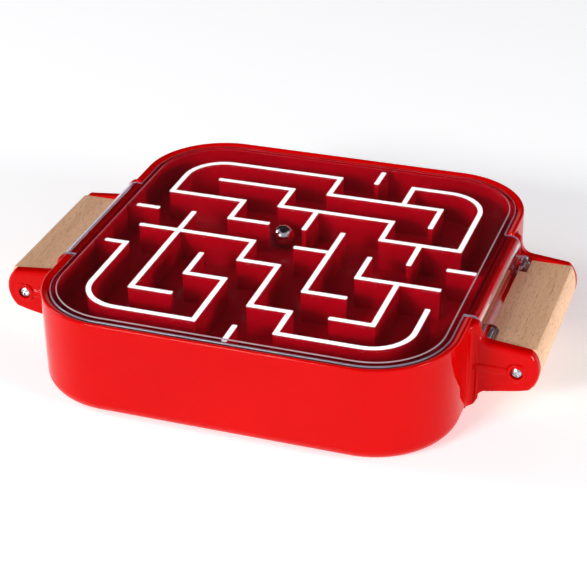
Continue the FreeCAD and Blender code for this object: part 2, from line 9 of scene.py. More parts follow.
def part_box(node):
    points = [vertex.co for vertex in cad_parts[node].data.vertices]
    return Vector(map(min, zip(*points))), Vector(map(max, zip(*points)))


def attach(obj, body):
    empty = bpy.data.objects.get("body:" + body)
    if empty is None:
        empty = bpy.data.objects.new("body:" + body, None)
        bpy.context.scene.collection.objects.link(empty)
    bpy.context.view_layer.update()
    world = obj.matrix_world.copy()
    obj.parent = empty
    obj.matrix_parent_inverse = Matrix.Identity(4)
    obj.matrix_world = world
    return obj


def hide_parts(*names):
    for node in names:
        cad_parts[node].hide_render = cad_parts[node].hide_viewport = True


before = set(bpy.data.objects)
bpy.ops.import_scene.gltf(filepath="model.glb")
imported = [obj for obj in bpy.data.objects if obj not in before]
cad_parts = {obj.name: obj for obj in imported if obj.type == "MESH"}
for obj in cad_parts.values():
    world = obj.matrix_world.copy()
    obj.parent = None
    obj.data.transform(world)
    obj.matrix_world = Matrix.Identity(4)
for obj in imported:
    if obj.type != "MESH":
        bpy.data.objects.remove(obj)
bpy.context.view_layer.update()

# The tilt maze: a glossy red tub with four arms, two beech grips, a maze tray with
# white-topped walls under a clear lid, and a steel ball.  Lengths are in metres.

MM = 0.001
UP = (0, 0, 1)
WELD = 1e-6                 # points closer than this are one point
CUT_PAST = 1 * MM           # how far outside a surface the tool that cuts it starts
HOLE_SEGMENTS = 24

TUB_LOW, TUB_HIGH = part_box("housing")
LID_LOW, LID_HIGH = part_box("lid")
TRAY_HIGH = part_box("maze_tray")[1]
GRIP_LOW, GRIP_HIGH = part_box("handle_right")
PIN_LOW, PIN_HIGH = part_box("hinge_pin_back")
BALL_LOW, BALL_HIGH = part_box("ball")
SCREW_LOW, SCREW_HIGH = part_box("handle_screw_right_back")
TRAY_SCREW_LOW, TRAY_SCREW_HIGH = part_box("tray_screw_right_back")
FOOT_LOW, FOOT_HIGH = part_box("foot_right_back")

# Tub
TUB_HALF = 106.1 * MM
TUB_CORNER = 42.5 * MM
TUB_BOTTOM = TUB_LOW[2]
RIM_TOP = TUB_HIGH[2]
CAVITY_HALF = 102.5 * MM
TUB_FLOOR = 3.4 * MM
TRAY_PAD_TOP = 5.0 * MM
NOTCH_LEVEL = 49.3 * MM
ARM_INNER = 43.3 * MM
ARM_OUTER = 48.5 * MM

# Tray and maze
TRAY_HALF = TRAY_HIGH[0]
TRAY_INNER = 100.6 * MM
FLOOR_LEVEL = 32.0 * MM
UNDER_TRAY = FLOOR_LEVEL - 2.6 * MM
WALL_TOP = TRAY_HIGH[2]
FILM = 0.3 * MM
PITCH = 20.8 * MM
WALL_HALF = 1.3 * MM

# Lid
LID_HALF = LID_HIGH[1]
LID_TOP = LID_HIGH[2]
LID_UNDER = 49.8 * MM
LID_BORDER = 51.2 * MM
LID_PANEL_HALF = 98.5 * MM
EAR_SHEET = LID_BORDER - LID_UNDER
EAR_OUTER = -LID_LOW[0]
EAR_HALF = 42.6 * MM

# Hinge and screws
HINGE_X = (PIN_LOW[0] + PIN_HIGH[0]) / 2
HINGE_Z = (PIN_LOW[2] + PIN_HIGH[2]) / 2
HINGE_HOLE = 1.3 * MM
SCREW_X = (SCREW_LOW[0] + SCREW_HIGH[0]) / 2
SCREW_Z = (SCREW_LOW[2] + SCREW_HIGH[2]) / 2
TRAY_SCREW = (TRAY_SCREW_LOW[0] + TRAY_SCREW_HIGH[0]) / 2
FOOT_PLACE = (FOOT_LOW[0] + FOOT_HIGH[0]) / 2

CORNERS = [("left_front", -1, -1), ("right_front", 1, -1),
           ("right_back", 1, 1), ("left_back", -1, 1)]


# ------------------------------------------------------------------ outlines

def arc(centre, radius, start, end, steps):
    """Points of an arc in degrees, both ends included."""
    turns = [math.radians(start + (end - start) * i / steps) for i in range(steps + 1)]
    return [(centre[0] + radius * math.cos(a), centre[1] + radius * math.sin(a))
            for a in turns]


def crown_arc(radius, edge, low, high, steps):
    """The bulge between (edge, low) and (edge, high), without those two ends."""
    half = (high - low) / 2
    centre = (edge - math.sqrt(radius ** 2 - half ** 2), (high + low) / 2)
    spread = math.degrees(math.asin(half / radius))
    return arc(centre, radius, -spread, spread, steps)[1:-1]


def rounded_edge(radius, level, angles, upward=1):
    """Section of a rounded edge: (inset, height) at each angle, starting from a level."""
    return [(radius * (1 - math.cos(math.radians(a))),
             level + upward * radius * (1 - math.sin(math.radians(a)))) for a in angles]


def rounded_square(half, radius, steps=20, stations=()):
    """Plan of a rounded square, anticlockwise, with extra stations along each side."""
    flat = half - radius
    points = []
    for quarter in range(4):
        turn = quarter * 90
        cos, sin = round(math.cos(math.radians(turn))), round(math.sin(math.radians(turn)))
        side = [(half, s) for s in stations]
        corner = arc((flat, flat), radius, 0, 90, steps)
        points += [(x * cos - y * sin, x * sin + y * cos) for x, y in side + corner]
    return points


def round_corners(points, radii, steps=6):
    """A closed outline with each corner rounded by its own radius."""
    no_length, nearly_straight = 1e-9, math.radians(176)
    result = []
    count = len(points)
    for i, point in enumerate(points):
        radius = radii[i] if isinstance(radii, (list, tuple)) else radii
        here = Vector(point)
        before = Vector(points[i - 1]) - here
        after = Vector(points[(i + 1) % count]) - here
        if radius <= 0 or min(before.length, after.length) < no_length:
            result.append(tuple(here))
            continue
        before.normalize()
        after.normalize()
        angle = before.angle(after)
        if angle > nearly_straight:
            result.append(tuple(here))
            continue
        reach = radius / math.tan(angle / 2)
        middle = (before + after).normalized()
        centre = here + middle * (radius / math.sin(angle / 2))
        first = here + before * reach - centre
        last = here + after * reach - centre
        sweep = first.angle(last)
        sign = 1 if first.x * last.y - first.y * last.x > 0 else -1
        for k in range(steps + 1):
            a = sign * sweep * k / steps
            result.append((centre.x + first.x * math.cos(a) - first.y * math.sin(a),
                           centre.y + first.x * math.sin(a) + first.y * math.cos(a)))
    return result


# -------------------------------------------------------------------- meshes

def add_object(name, data):
    obj = bpy.data.objects.new(name, data)
    bpy.context.scene.collection.objects.link(obj)
    return obj


def add_mesh(name, verts, faces):
    mesh = bpy.data.meshes.new(name)
    mesh.from_pydata([tuple(v) for v in verts], [], faces)
    mesh.update()
    return add_object(name, mesh)


@contextlib.contextmanager
def editing(obj):
    """A part's mesh opened for editing, and written back at the end."""
    work = bmesh.new()
    work.from_mesh(obj.data)
    yield work
    work.to_mesh(obj.data)
    work.free()


def swept(name, rings):
    """A closed solid through rings of equal point count, capped at both ends."""
    count = len(rings[0])
    verts = [v for ring in rings for v in ring]
    faces = [tuple(reversed(range(count)))]
    for level in range(len(rings) - 1):
        base = level * count
        for i in range(count):
            j = (i + 1) % count
            faces.append((base + i, base + j, base + count + j, base + count + i))
    last = (len(rings) - 1) * count
    faces.append(tuple(range(last, last + count)))
    return add_mesh(name, verts, faces)


def square_sweep(name, half, radius, profile, stations=(), drop=None):
    """A rounded-square solid whose section is (inset, height) steps from bottom to top."""
    least_radius = 0.1 * MM
    rings = []
    for inset, height in profile:
        plan = rounded_square(half - inset, max(radius - inset, least_radius),
                              stations=stations)
        ring = [(x, y, height if drop is None else drop(x, y, height)) for x, y in plan]
        rings.append(ring)
    return swept(name, rings)


def give_slots(obj, mats, number):
    """Put the materials on a part and all its faces in one slot, before it is joined."""
    for mat in mats:
        obj.data.materials.append(mat)
    for face in obj.data.polygons:
        face.material_index = number


def choose_material(obj, number, wanted):
    """Give a material slot number to the faces whose centre passes a test."""
    for face in obj.data.polygons:
        if wanted(face.center):
            face.material_index = number


def extruded(name, outline, low, high, plane="XY"):
    """A prism over an outline; plane XZ runs it along Y."""
    if plane == "XY":
        rings = [[(x, y, h) for x, y in outline] for h in (low, high)]
    else:
        rings = [[(x, h, z) for x, z in outline] for h in (low, high)]
    obj = swept(name, rings)
    fix_normals(obj)
    return obj


def fix_normals(obj):
    with editing(obj) as work:
        bmesh.ops.recalc_face_normals(work, faces=work.faces)


def turned(name, start, direction, steps, segments=48):
    """A closed lathe body; steps are (radius, distance along the direction)."""
    axis = Vector(direction).normalized()
    turn = Vector(UP).rotation_difference(axis).to_matrix()
    rings = []
    for radius, h in steps:
        circle = arc((0, 0), radius, 0, 360 - 360 / segments, segments - 1)
        rings.append([tuple(Vector(start) + turn @ Vector((x, y, h))) for x, y in circle])
    obj = swept(name, rings)
    fix_normals(obj)
    return obj


def cylinder(name, start, direction, radius, length, segments=48):
    return turned(name, start, direction, [(radius, 0), (radius, length)], segments)


def block(name, low, high):
    outline = [(low[0], low[1]), (high[0], low[1]), (high[0], high[1]), (low[0], high[1])]
    return extruded(name, outline, low[2], high[2])


def apply_modifiers(obj):
    graph = bpy.context.evaluated_depsgraph_get()
    mesh = bpy.data.meshes.new_from_object(obj.evaluated_get(graph))
    obj.modifiers.clear()
    old = obj.data
    obj.data = mesh
    bpy.data.meshes.remove(old)


def bevel(obj, width, angle=35):
    made = obj.modifiers.new("bevel", "BEVEL")
    made.width = width
    made.segments = 3
    made.limit_method = "ANGLE"
    made.angle_limit = math.radians(angle)
    apply_modifiers(obj)


def round_edges(obj, radius, wanted, angle=50, segments=5):
    """Round the sharp edges whose middle passes a test."""
    limit = math.radians(angle)
    with editing(obj) as work:
        chosen = [edge for edge in work.edges
                  if len(edge.link_faces) == 2 and edge.calc_face_angle(0) > limit
                  and wanted((edge.verts[0].co + edge.verts[1].co) / 2)]
        bmesh.ops.bevel(work, geom=chosen, offset=radius, offset_type="OFFSET",
                        segments=segments, profile=0.5, affect="EDGES",
                        clamp_overlap=False)


def boolean(obj, other, operation):
    made = obj.modifiers.new("boolean", "BOOLEAN")
    made.operation = operation
    made.solver = "EXACT"
    made.object = other
    apply_modifiers(obj)
    bpy.data.objects.remove(other)


def unite(obj, others):
    for other in others:
        boolean(obj, other, "UNION")


def mirrored(obj, name, axis):
    """A copy mirrored across the plane square to axis 0, 1 or 2."""
    twin = add_object(name, obj.data.copy())
    for v in twin.data.vertices:
        v.co[axis] = -v.co[axis]
    fix_normals(twin)
    return twin


def shade(obj, angle=32):
    """Smooth shading that keeps edges sharper than the angle."""
    limit = math.radians(angle)
    with editing(obj) as work:
        bmesh.ops.remove_doubles(work, verts=work.verts, dist=WELD)
        bmesh.ops.dissolve_degenerate(work, edges=work.edges, dist=0.1 * WELD)
        for face in work.faces:
            face.smooth = True
        for edge in work.edges:
            edge.smooth = len(edge.link_faces) == 2 and edge.calc_face_angle(0) < limit
    weighted = obj.modifiers.new("weighted", "WEIGHTED_NORMAL")
    weighted.keep_sharp = True
    weighted.weight = 90


# ----------------------------------------------------------------- materials

def new_material(name):
    mat = bpy.data.materials.new(name)
    mat.use_nodes = True
    nodes = mat.node_tree.nodes
    return mat, nodes, mat.node_tree.links, nodes["Principled BSDF"]


def add_node(nodes, kind, **settings):
    made = nodes.new(kind)
    for key, value in settings.items():
        setattr(made, key, value)
    return made


def grey(level):
    return (level, level, level)


def noise(nodes, links, scale, detail=3.0, stretch=(1, 1, 1)):
    place = add_node(nodes, "ShaderNodeTexCoord")
    spread = add_node(nodes, "ShaderNodeMapping")
    spread.inputs["Scale"].default_value = stretch
    made = add_node(nodes, "ShaderNodeTexNoise")
    made.inputs["Scale"].default_value = scale
    made.inputs["Detail"].default_value = detail
    links.new(place.outputs["Object"], spread.inputs["Vector"])
    links.new(spread.outputs["Vector"], made.inputs["Vector"])
    return made


def ramp(nodes, links, source, stops):
    """A colour ramp between two stops, each a position and a colour."""
    made = add_node(nodes, "ShaderNodeValToRGB")
    for element, (position, colour) in zip(made.color_ramp.elements, stops):
        element.position, element.color = position, (*colour, 1)
    links.new(source, made.inputs["Fac"])
    return made


def bump(nodes, links, source, shader, strength, distance):
    made = add_node(nodes, "ShaderNodeBump")
    made.inputs["Strength"].default_value = strength
    made.inputs["Distance"].default_value = distance
    links.new(source, made.inputs["Height"])
    links.new(made.outputs["Normal"], shader.inputs["Normal"])


def plastic(name, dark, light, roughness):
    """Moulded gloss plastic: faint colour drift, faint orange peel."""
    mat, nodes, links, shader = new_material(name)
    drift = noise(nodes, links, 18.0)
    colour = ramp(nodes, links, drift.outputs["Fac"], [(0.3, dark), (0.7, light)])
    links.new(colour.outputs["Color"], shader.inputs["Base Color"])
    smudge = noise(nodes, links, 55.0, 5.0)
    rough = ramp(nodes, links, smudge.outputs["Fac"],
                 [(0.25, grey(roughness)), (0.85, grey(roughness * 1.5))])
    links.new(rough.outputs["Color"], shader.inputs["Roughness"])
    shader.inputs["IOR"].default_value = 1.5
    shader.inputs["Specular IOR Level"].default_value = 0.10
    peel = noise(nodes, links, 420.0, 2.0)
    bump(nodes, links, peel.outputs["Fac"], shader, 0.06, 0.0002)
    return mat


def film_material():
    mat, nodes, links, shader = new_material("white_film_painted_glow")
    drift = noise(nodes, links, 90.0)
    colour = ramp(nodes, links, drift.outputs["Fac"],
                  [(0.3, (0.86, 0.85, 0.86)), (0.7, (0.93, 0.93, 0.94))])
    links.new(colour.outputs["Color"], shader.inputs["Base Color"])
    shader.inputs["Roughness"].default_value = 0.35
    # Painted glow: the film emits light of its own to brighten the white tops under the
    # lid.
    shader.inputs["Emission Color"].default_value = (1, 1, 1, 1)
    shader.inputs["Emission Strength"].default_value = 0.4
    grain = noise(nodes, links, 900.0, 2.0)
    bump(nodes, links, grain.outputs["Fac"], shader, 0.05, 0.0001)
    return mat


def clear_material(name, tint, passing):
    """Clear moulded plastic; its shadow lets through the passing part of the light."""
    mat, nodes, links, shader = new_material(name)
    shader.inputs["Base Color"].default_value = (*tint, 1)
    shader.inputs["Transmission Weight"].default_value = 1.0
    shader.inputs["IOR"].default_value = 1.49
    smudge = noise(nodes, links, 40.0, 4.0)
    rough = ramp(nodes, links, smudge.outputs["Fac"],
                 [(0.35, grey(0.012)), (0.8, grey(0.035))])
    links.new(rough.outputs["Color"], shader.inputs["Roughness"])
    let_shadows_through(nodes, links, shader, passing)
    return mat


def let_shadows_through(nodes, links, shader, passing):
    path = add_node(nodes, "ShaderNodeLightPath")
    through = add_node(nodes, "ShaderNodeBsdfTransparent")
    through.inputs["Color"].default_value = (*passing, 1)
    mixed = add_node(nodes, "ShaderNodeMixShader")
    links.new(path.outputs["Is Shadow Ray"], mixed.inputs["Fac"])
    links.new(shader.outputs["BSDF"], mixed.inputs[1])
    links.new(through.outputs["BSDF"], mixed.inputs[2])
    links.new(mixed.outputs["Shader"], nodes["Material Output"].inputs["Surface"])


def edge_material(name, dark, light, passing):
    """The lid's moulded edges: the same plastic, finely frosted, with a painted tint."""
    shadow = (0.5, 0.48, 0.54)
    mat, nodes, links, shader = new_material(name)
    drift = noise(nodes, links, 160.0, 3.0)
    # Painted light: the tint stands in for reflections on the edges and a highlight on the
    # step.
    tint = ramp(nodes, links, drift.outputs["Fac"],
                [(0.3, dark), (0.7, light)])
    links.new(tint.outputs["Color"], shader.inputs["Base Color"])
    shader.inputs["Transmission Weight"].default_value = passing
    shader.inputs["IOR"].default_value = 1.49
    shader.inputs["Roughness"].default_value = 0.22
    grain = noise(nodes, links, 1400.0, 2.0)
    bump(nodes, links, grain.outputs["Fac"], shader, 0.08, 0.0001)
    let_shadows_through(nodes, links, shader, shadow)
    return mat


def beech_material():
    """Oiled beech, grain along the grip, with the short dark flecks of its rays."""
    mat, nodes, links, shader = new_material("beech")
    broad = noise(nodes, links, 60.0, 4.0, (1.0, 0.05, 1.0))
    tone = ramp(nodes, links, broad.outputs["Fac"],
                [(0.30, (0.80, 0.475, 0.275)), (0.70, (0.92, 0.58, 0.365))])
    fibre = noise(nodes, links, 1900.0, 2.0, (1.0, 0.025, 1.0))
    streak = ramp(nodes, links, fibre.outputs["Fac"],
                  [(0.30, (0.86, 0.84, 0.82)), (0.65, (1, 1, 1))])
    fleck = noise(nodes, links, 1900.0, 1.0, (1.0, 0.16, 1.0))
    dark = ramp(nodes, links, fleck.outputs["Fac"],
                [(0.28, (0.74, 0.64, 0.57)), (0.44, (1, 1, 1))])
    first = multiply(nodes, links, tone.outputs["Color"], streak.outputs["Color"])
    both = multiply(nodes, links, first, dark.outputs["Color"])
    links.new(both, shader.inputs["Base Color"])
    shader.inputs["Roughness"].default_value = 0.5
    shader.inputs["Specular IOR Level"].default_value = 0.25
    bump(nodes, links, fleck.outputs["Fac"], shader, 0.12, 0.0002)
    return mat


def multiply(nodes, links, first, second):
    mixed = add_node(nodes, "ShaderNodeMix", data_type="RGBA", blend_type="MULTIPLY")
    mixed.inputs["Factor"].default_value = 1.0
    links.new(first, mixed.inputs["A"])
    links.new(second, mixed.inputs["B"])
    return mixed.outputs["Result"]


def metal(name, colour, roughness, scale, stretch=(1, 1, 1), strength=0.05):
    mat, nodes, links, shader = new_material(name)
    shader.inputs["Metallic"].default_value = 1.0
    grain = noise(nodes, links, scale, 3.0, stretch)
    tint = ramp(nodes, links, grain.outputs["Fac"],
                [(0.3, [c * 0.9 for c in colour]), (0.7, colour)])
    links.new(tint.outputs["Color"], shader.inputs["Base Color"])
    rough = ramp(nodes, links, grain.outputs["Fac"],
                 [(0.3, grey(roughness)), (0.8, grey(roughness * 1.4))])
    links.new(rough.outputs["Color"], shader.inputs["Roughness"])
    bump(nodes, links, grain.outputs["Fac"], shader, strength, 0.0001)
    return mat


def rubber_material():
    mat, nodes, links, shader = new_material("pad_rubber")
    grain = noise(nodes, links, 700.0, 3.0)
    tint = ramp(nodes, links, grain.outputs["Fac"],
                [(0.3, (0.02, 0.02, 0.02)), (0.7, (0.045, 0.045, 0.045))])
    links.new(tint.outputs["Color"], shader.inputs["Base Color"])
    shader.inputs["Roughness"].default_value = 0.75
    bump(nodes, links, grain.outputs["Fac"], shader, 0.3, 0.0003)
    return mat


RED = plastic("red_plastic", (0.52, 0.0008, 0.0008), (0.56, 0.0011, 0.0011), 0.06)
# Painted shade: the tray's red is darker than the tub's, for the shaded inside of the maze.
TRAY_RED_PAINTED_SHADE = plastic("tray_red_plastic_painted_shade", (0.34, 0.0004, 0.005), (0.38, 0.0006, 0.006), 0.08)
WHITE_FILM_PAINTED_GLOW = film_material()
CLEAR = clear_material("clear_plastic", (0.985, 0.98, 0.99), (0.94, 0.93, 0.95))
# Painted shade: the border and the ears' tops take a darker violet tint than the clear
# panel.
CLEAR_BORDER_PAINTED_SHADE = clear_material("clear_plastic_border_painted_shade",
                              (0.62, 0.52, 0.64), (0.34, 0.28, 0.36))
# Painted reflection: the rounded edges take a violet-grey tint for the room seen in them.
CLEAR_EDGE_PAINTED_REFLECTION = edge_material("clear_plastic_edge_painted_reflection",
                           (0.50, 0.42, 0.56), (0.66, 0.58, 0.70), 0.62)
# Painted highlight: the pale pink tint stands in for light carried along the panel's step.
CLEAR_STEP_PAINTED_HIGHLIGHT = edge_material("clear_plastic_step_painted_highlight",
                           (0.80, 0.50, 0.55), (0.90, 0.60, 0.65), 0.50)
CLEAR_LUG = clear_material("clear_plastic_lug", (0.70, 0.62, 0.70), (0.60, 0.56, 0.62))
LID_MATERIALS = [CLEAR, CLEAR_BORDER_PAINTED_SHADE, CLEAR_EDGE_PAINTED_REFLECTION, CLEAR_STEP_PAINTED_HIGHLIGHT, CLEAR_LUG]
PANEL, BORDER, EDGE, STEP, LUG = range(len(LID_MATERIALS))
BEECH = beech_material()
STEEL = metal("polished_steel", (0.86, 0.86, 0.87), 0.03, 60.0, strength=0.0)
ZINC = metal("zinc", (0.62, 0.68, 0.72), 0.20, 300.0)
PIN_STEEL = metal("ground_steel", (0.62, 0.62, 0.64), 0.28, 500.0, (8, 1, 8))
RUBBER = rubber_material()


def dress(obj, mats, body, slot, *nodes):
    """Give a finished piece its materials and body, in place of its CAD nodes; the slot is
    not used.
    """
    for mat in mats:
        if mat.name not in obj.data.materials:
            obj.data.materials.append(mat)
    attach(obj, body)
    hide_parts(*nodes)


# ------------------------------------------------------------------- housing

def tub_shell():
    """The bowl with its rolled rim, dropped where the lid's ears cross it."""
    foot_round, rim_round, rim_bevel = 7.2 * MM, 1.2 * MM, 2.1 * MM
    floor_round = 2 * MM
    wall = TUB_HALF - CAVITY_HALF
    foot = rounded_edge(foot_round, TUB_BOTTOM, range(90, -1, -9))
    roll = rounded_edge(rim_round, RIM_TOP, range(0, 91, 15), upward=-1)
    inside = [(wall - rim_bevel, RIM_TOP), (wall - 0.4 * MM, RIM_TOP - 1.0 * MM),
              (wall, RIM_TOP - rim_bevel), (wall, TUB_FLOOR + floor_round),
              (wall + 0.6 * MM, TUB_FLOOR + 0.6 * MM), (wall + floor_round, TUB_FLOOR)]
    fall = RIM_TOP - NOTCH_LEVEL
    slope, slope_steps = 1.6 * MM, 6
    slope_end = ARM_INNER + slope
    wall_blend = 4 * MM
    rim_zone = CAVITY_HALF - 3 * MM

    def drop(x, y, height):
        """Lower the rim between the arms, eased along the side and down the wall."""
        if abs(x) < rim_zone or abs(y) > slope_end:
            return height
        along = min(1.0, (slope_end - abs(y)) / slope)
        eased = along * along * (3 - 2 * along)
        above = max(0.0, height - (NOTCH_LEVEL - wall_blend)) / (fall + wall_blend)
        return height - fall * eased * min(1.0, above)

    stations = [slope_end - slope * k / slope_steps for k in range(slope_steps + 1)]
    stations = sorted([-s for s in stations] + stations)
    return square_sweep("tub", TUB_HALF, TUB_CORNER, foot + roll + inside,
                        stations=stations, drop=drop)


def arm_outline():
    """Side view of an arm, X outwards and Z up, from root to crowned tip."""
    root, shoulder, foot = 102.8 * MM, 50.2 * MM, 5.0 * MM
    foot_end, shoulder_end = 109.4 * MM, 109.8 * MM
    bend_x, bend_top, bend_low = 111.0 * MM, 40.9 * MM, 13.4 * MM
    tip_x, tip_top, tip_low = 135.2 * MM, 38.4 * MM, 17.2 * MM
    crown, crown_steps = 14.3 * MM, 14
    soft, hollow = 2.6 * MM, 6.0 * MM
    bulge = crown_arc(crown, tip_x, tip_low, tip_top, crown_steps)
    corners = [(root, shoulder), (root, foot), (foot_end, foot), (bend_x, bend_low),
               (tip_x, tip_low), *bulge, (tip_x, tip_top), (bend_x, bend_top),
               (shoulder_end, shoulder)]
    radii = [0, 0, soft, hollow, soft] + [0] * len(bulge) + [soft, hollow, soft]
    return round_corners(corners, radii)


def arm_plan():
    """Plan of a front right arm, blended into the tub's side by a hollow fillet."""
    blend = 4.5 * MM
    root, far = 102.7 * MM, 145.0 * MM
    start = -ARM_OUTER - blend - 0.3 * MM
    skin = TUB_HALF - 0.2 * MM
    hollow = arc((TUB_HALF + blend, -ARM_OUTER - blend), blend, 180, 90, 10)
    return [(root, -ARM_INNER), (root, start), (skin, start), *hollow,
            (far, -ARM_OUTER), (far, -ARM_INNER)]


def arm_plate():
    """The side view crossed with the plan; the underside keeps a tighter rounding."""
    face_round, under_round = 2.4 * MM, 0.6 * MM
    under_level, tip_start = 24 * MM, 134 * MM
    past_outer, past_inner, over_top = 8 * MM, 4 * MM, 60 * MM
    plate = extruded("arm", arm_outline(), -ARM_OUTER - past_outer,
                     -ARM_INNER + past_inner, "XZ")
    plan = extruded("arm_plan", arm_plan(), 0.0, over_top)
    boolean(plate, plan, "INTERSECT")

    def outer(spot):
        return spot.y < -ARM_INNER - 2 * MM and spot.x > TUB_HALF - 1 * MM

    def underside(spot):
        return spot.z < under_level and spot.x < tip_start

    round_edges(plate, face_round, lambda spot: outer(spot) and not underside(spot))
    round_edges(plate, under_round, lambda spot: outer(spot) and underside(spot),
                segments=3)
    return plate


def screw_boss(face, rise):
    """The round boss, with a hollow at its foot and a broken rim."""
    steps = [(5.7 * MM, 0), (5.7 * MM, 1.0 * MM), (5.3 * MM, 1.1 * MM),
             (5.1 * MM, 1.3 * MM), (5.0 * MM, 1.7 * MM), (4.8 * MM, rise - 0.15 * MM),
             (4.4 * MM, rise)]
    return turned("boss", (SCREW_X, -face, SCREW_Z), (0, -1, 0), steps)


def screw_rib(face):
    """The low rib from the tub's side to the boss, from its half section in millimetres."""
    start, end = 104.5 * MM, SCREW_X - 4.0 * MM
    flank = [(-2.4, 0.0), (-2.4, 0.9), (-2.0, 1.15), (-1.6, 1.55), (-1.0, 1.78)]
    section = flank + [(0.0, 1.84)] + [(-z, y) for z, y in reversed(flank)]
    rib = swept("rib", [[(x, -face - y * MM, SCREW_Z + z * MM) for z, y in section]
                        for x in (start, end)])
    fix_normals(rib)
    return rib


def front_right_arm():
    face, boss_face = 47.5 * MM, 49.6 * MM
    seat_radius, seat_length = 3.05 * MM, 3.0 * MM
    arm = arm_plate()
    unite(arm, [screw_rib(face), screw_boss(face, boss_face - face)])
    seat = cylinder("seat", (SCREW_X, -boss_face - CUT_PAST, SCREW_Z), (0, 1, 0),
                    seat_radius, seat_length)
    boolean(arm, seat, "DIFFERENCE")
    return arm


def housing():
    pad_radius, pad_sunk = 5.5 * MM, 0.5 * MM
    well_radius, well_length = 3.25 * MM, 3.3 * MM
    foot_radius, foot_length = 6.1 * MM, 1.8 * MM
    socket_length = 5.0 * MM
    tub = tub_shell()
    front_right = front_right_arm()
    arms = [front_right, mirrored(front_right, "arm_back", 1)]
    arms += [mirrored(arm, f"{arm.name}_left", 0) for arm in arms]
    unite(tub, arms)
    for _, sx, sy in CORNERS:
        screw_x, screw_y = TRAY_SCREW * sx, TRAY_SCREW * sy
        pad = cylinder("pad", (screw_x, screw_y, TUB_FLOOR - pad_sunk), UP, pad_radius,
                       TRAY_PAD_TOP - TUB_FLOOR + pad_sunk)
        boolean(tub, pad, "UNION")
        well = cylinder("well", (screw_x, screw_y, TUB_BOTTOM - CUT_PAST), UP,
                        well_radius, well_length)
        boolean(tub, well, "DIFFERENCE")
        seat = cylinder("foot_seat", (FOOT_PLACE * sx, FOOT_PLACE * sy,
                                      TUB_BOTTOM - CUT_PAST), UP, foot_radius, foot_length)
        boolean(tub, seat, "DIFFERENCE")
    for side in (-1, 1):
        socket = cylinder("socket", (HINGE_X, side * (ARM_INNER - CUT_PAST), HINGE_Z),
                          (0, side, 0), HINGE_HOLE, socket_length, HOLE_SEGMENTS)
        boolean(tub, socket, "DIFFERENCE")
    tub.name = "tub_and_arms"
    shade(tub)
    dress(tub, [RED], "tub", "housing_plastic", "housing")


# ---------------------------------------------------------------------- maze

# Each wall is a run of grid nodes, (column, row) from the front left; the grid's middle
# is (4, 4).  A "round" node is a corner turned as a quarter circle.  Nodes at -1 and 9
# reach the outer wall.
GRID_MIDDLE = 4
RUNS = [
    [(0, 6), (0, 8, "round"), (4, 8), (4, 7), (7, 7), (7, 6)],
    [(6, 7), (6, 8), (8, 8, "round"), (8, 5), (6, 5), (6, 6), (3, 6), (3, 7), (1, 7)],
    [(4, 6), (4, 5)],
    [(7, 5), (7, 4)],
    [(0, 6), (2, 6), (2, 5), (3, 5)],
    [(0, 4), (3, 4), (3, 3), (4, 3), (4, 1), (5, 1), (5, 0), (8, 0, "round"), (8, 2)],
    [(1, 5), (1, 1), (2, 1)],
    [(-1, 3), (0, 3), (0, 0, "round"), (3, 0), (3, 2), (2, 2), (2, 3)],
    [(-1, 5), (0, 5)],
    [(4, 0), (4, -1)],
    [(5, 8), (5, 9)],
    [(8, 4), (9, 4)],
    [(5, 5), (5, 2), (6, 2)],
    [(4.12, 4), (5, 4)],
    [(6, 4), (6, 3), (8, 3)],
    [(7, 3), (7, 1), (6, 1)],
]
PRINT_ENDS = {(-1, 3): (-0.5, 3), (-1, 5): (-0.5, 5)}    # where the film stops short


def centre_line(run, reach):
    """Plan points of a run's middle line; ends outside the grid stop at the reach."""
    steps = 16
    limit = reach / PITCH
    points = []
    for number, node in enumerate(run):
        u = max(-limit, min(limit, node[0] - GRID_MIDDLE))
        v = max(-limit, min(limit, node[1] - GRID_MIDDLE))
        if len(node) == 3:
            before, after = run[number - 1], run[number + 1]
            into = Vector((before[0] - node[0], before[1] - node[1])).normalized()
            onto = Vector((after[0] - node[0], after[1] - node[1])).normalized()
            centre = Vector((u, v)) + into + onto
            start = -onto
            for k in range(steps + 1):
                a = math.pi / 2 * k / steps
                spot = centre + start * math.cos(a) - into * math.sin(a)
                points.append(spot * PITCH)
        else:
            points.append(Vector((u, v)) * PITCH)
    kept = points[:1]
    for point in points[1:]:
        if (point - kept[-1]).length > WELD:
            kept.append(point)
    return kept


def band_outline(line, half, cap):
    """The closed outline of a band round an open line, with square ends."""
    least = 0.3
    sides = {1: [], -1: []}
    for i, point in enumerate(line):
        before = (point - line[i - 1]).normalized() if i else None
        after = (line[i + 1] - point).normalized() if i + 1 < len(line) else None
        if before is None:
            along, shift, stretch = after, -after * cap, 1.0
        elif after is None:
            along, shift, stretch = before, before * cap, 1.0
        else:
            along = (before + after).normalized()
            stretch = 1.0 / max(least, along.dot(after))
            shift = Vector((0, 0))
        across = Vector((-along.y, along.x)) * half * stretch
        for sign in (1, -1):
            sides[sign].append(point + shift + across * sign)
    return [tuple(p) for p in sides[-1] + sides[1][::-1]]


def corner_radii(outline, radius):
    """The radius at sharp corners, none along curved stretches."""
    sharp = math.radians(40)
    radii = []
    count = len(outline)
    for i, point in enumerate(outline):
        before = Vector(point) - Vector(outline[i - 1])
        after = Vector(outline[(i + 1) % count]) - Vector(point)
        radii.append(radius if before.angle(after) > sharp else 0)
    return radii


def band(name, run, reach, low, high):
    """A wall or strip along a run, with its upright corners rounded."""
    corner_round = 0.5 * MM
    outline = band_outline(centre_line(run, reach), WALL_HALF, WALL_HALF)
    outline = round_corners(outline, corner_radii(outline, corner_round), 4)
    return extruded(name, outline, low, high)


